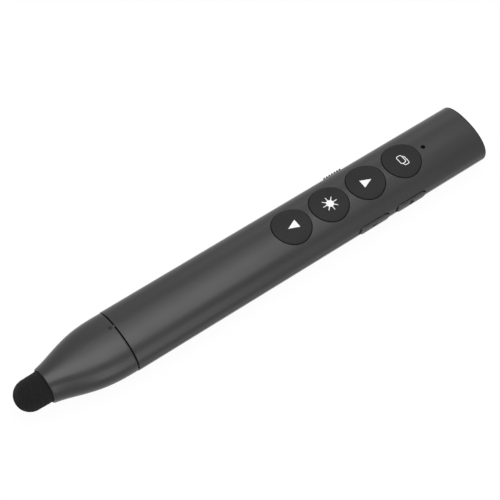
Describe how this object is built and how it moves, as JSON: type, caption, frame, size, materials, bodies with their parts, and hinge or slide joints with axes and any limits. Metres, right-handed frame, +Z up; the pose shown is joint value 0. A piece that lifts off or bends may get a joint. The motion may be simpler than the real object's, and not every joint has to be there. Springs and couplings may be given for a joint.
{
  "type": "laser pointer",
  "caption": "Slim flattened pen-shaped laser pointer with a soft domed stylus tip, a pull-off nose, round buttons on top, keys on one side and a ridged slider on the other.",
  "frame": {"origin": "on the resting surface, under the middle of the pen's length and width", "axes": "+X along the pen from the stylus tip to the laser window, +Y across it to the power slider, +Z up out of the button face"},
  "size_m": [0.1586, 0.021, 0.0131],
  "materials": {
    "shell": "satin dark grey paint",
    "button": "fine matt black",
    "cap": "gloss black",
    "inner": "plain moulded black",
    "fabric": "knitted conductive yarn",
    "foam": "soft foam rubber",
    "rubber": "plain moulded rubber",
    "steel": "plated sheet",
    "brass": "turned",
    "lens": "clear dark red",
    "clear": "milky moulded",
    "board": "green solder mask",
    "chip": "moulded black resin",
    "battery": "laminated foil pouch",
    "red_lead": "insulated wire",
    "black_lead": "insulated wire"
  },
  "bodies": {
    "body": {"upper_shell": "shell", "lower_shell": "shell", "foot_front": "rubber", "foot_rear": "rubber", "front_spigot": "inner", "end_cap": "cap", "charging_port": "steel", "laser_window": "lens", "laser_barrel": "brass", "laser_lens": "lens", "laser_diode": "steel", "main_board": "board", "board_screw_1": "steel", "board_screw_2": "steel", "radio_chip": "chip", "crystal_can": "steel", "status_lamp": "clear", "light_pipe": "clear", "battery": "battery", "battery_pad": "foam", "battery_socket": "clear", "battery_lead_red": "red_lead", "battery_lead_black": "black_lead", "button_switch_1": "chip", "button_switch_2": "chip", "button_switch_3": "chip", "button_switch_4": "chip", "volume_down_switch": "chip", "volume_up_switch": "chip", "slide_switch": "steel"},
    "nose": {"nose_cap": "shell", "tip_sleeve": "steel", "tip_core": "foam", "fabric_tip": "fabric"},
    "receiver": {"receiver_housing": "button", "receiver_plug": "steel", "receiver_board": "board"},
    "back_button": {"button_1": "button", "button_plunger_1": "clear"},
    "laser_button": {"button_2": "button", "button_plunger_2": "clear"},
    "forward_button": {"button_3": "button", "button_plunger_3": "clear"},
    "window_button": {"button_4": "button", "button_plunger_4": "clear"},
    "volume_down": {"volume_down_key": "shell", "volume_down_plunger": "clear"},
    "volume_up": {"volume_up_key": "shell", "volume_up_plunger": "clear"},
    "slider": {"power_slider": "shell", "slider_actuator": "clear"}
  },
  "joints": [
    {"name": "nose_pull", "type": "slide", "parent": "body", "child": "nose", "axis": [-1, 0, 0], "range_m": [0, 0.045]},
    {"name": "receiver_pull", "type": "slide", "parent": "body", "child": "receiver", "axis": [-1, 0, 0], "range_m": [0, 0.018]},
    {"name": "back_press", "type": "slide", "parent": "body", "child": "back_button", "axis": [0, 0, -1], "range_m": [0, 0.0005], "stiffness_N_per_m": 120, "springref_m": -0.0003},
    {"name": "laser_press", "type": "slide", "parent": "body", "child": "laser_button", "axis": [0, 0, -1], "range_m": [0, 0.0005], "stiffness_N_per_m": 120, "springref_m": -0.0003},
    {"name": "forward_press", "type": "slide", "parent": "body", "child": "forward_button", "axis": [0, 0, -1], "range_m": [0, 0.0005], "stiffness_N_per_m": 120, "springref_m": -0.0003},
    {"name": "window_press", "type": "slide", "parent": "body", "child": "window_button", "axis": [0, 0, -1], "range_m": [0, 0.0005], "stiffness_N_per_m": 120, "springref_m": -0.0003},
    {"name": "volume_down_press", "type": "slide", "parent": "body", "child": "volume_down", "axis": [0, 1, 0], "range_m": [0, 0.0005], "stiffness_N_per_m": 120, "springref_m": -0.0003},
    {"name": "volume_up_press", "type": "slide", "parent": "body", "child": "volume_up", "axis": [0, 1, 0], "range_m": [0, 0.0005], "stiffness_N_per_m": 120, "springref_m": -0.0003},
    {"name": "power_slide", "type": "slide", "parent": "body", "child": "slider", "axis": [1, 0, 0], "range_m": [0, 0.002]}
  ],
  "couplings": [
    {"joint": "receiver_pull", "follows": "nose_pull", "ratio": 0.4}
  ]
}
